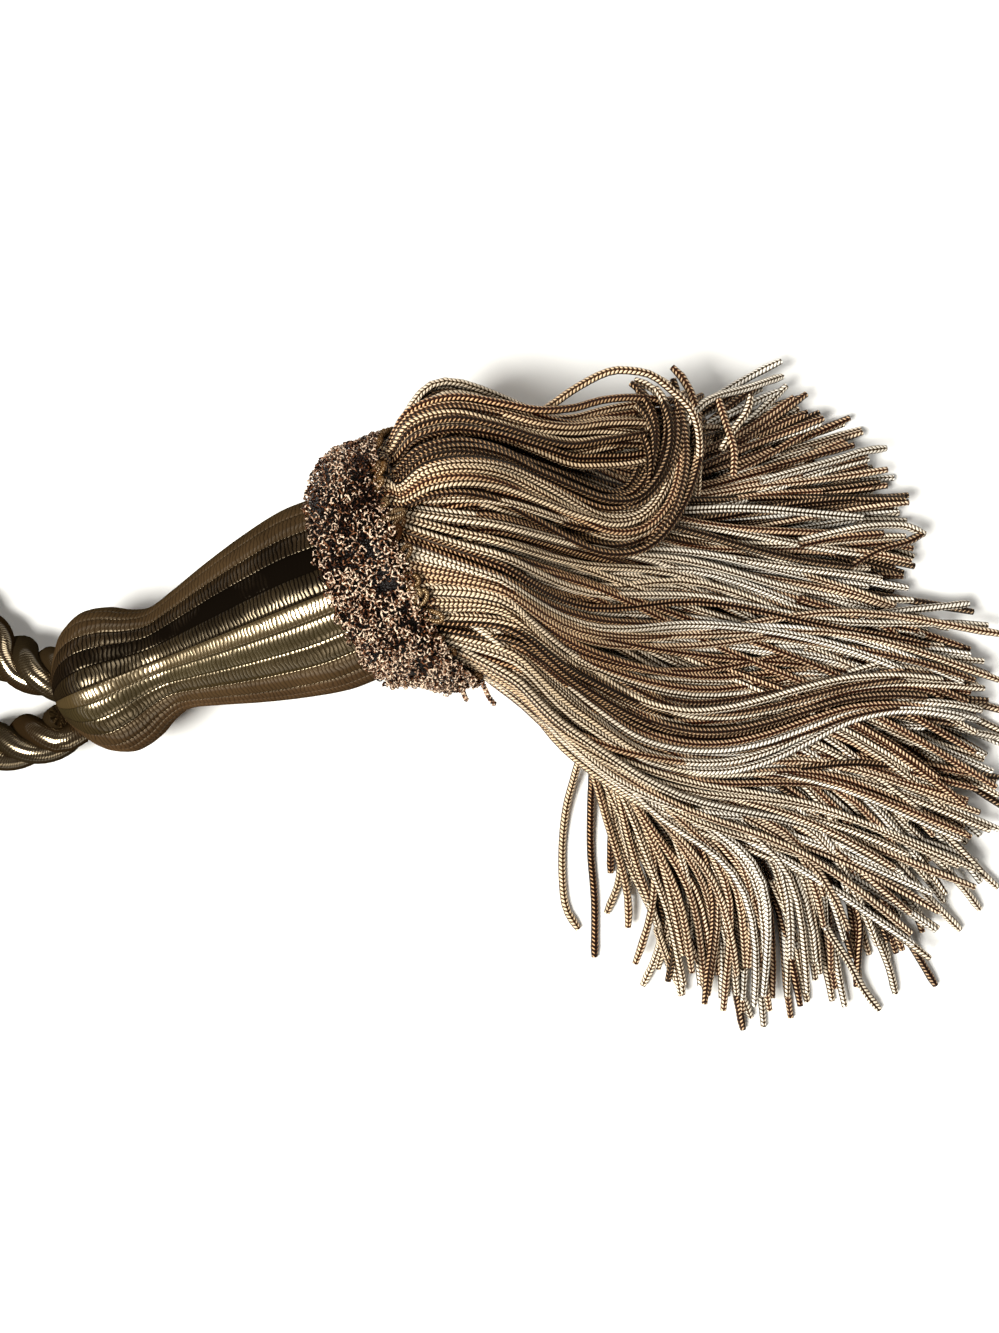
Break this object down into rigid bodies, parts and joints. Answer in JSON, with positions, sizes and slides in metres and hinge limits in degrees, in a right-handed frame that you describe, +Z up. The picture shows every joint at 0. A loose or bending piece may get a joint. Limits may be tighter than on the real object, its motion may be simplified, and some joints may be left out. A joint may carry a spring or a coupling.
{
  "type": "curtain tieback tassel",
  "caption": "Tassel with a turned, gimp-covered head, a looped ruff, a skirt of knitted cords fanned out on a surface and a twisted rope loop from the head's tip.",
  "frame": {"origin": "under the middle of the tassel's bounding box, measured without the rope loop, on the surface that it lies on", "axes": "+X from the head towards the fanned skirt, +Z up from the surface"},
  "size_m": [0.5023, 0.1619, 0.0646],
  "materials": {
    "satin_rope": "satin rayon yarn, three plies twisted together",
    "satin_gimp": "satin rayon thread wound across a core cord",
    "looped_gimp": "crinkled looped gimp, half matt",
    "knitted_cord": "knitted chainette cord in several browns and creams, soft sheen"
  },
  "bodies": {
    "root": {"rope_loop": "satin_rope", "head": "satin_gimp", "ruff": "looped_gimp", "skirt": "knitted_cord"}
  },
  "joints": []
}
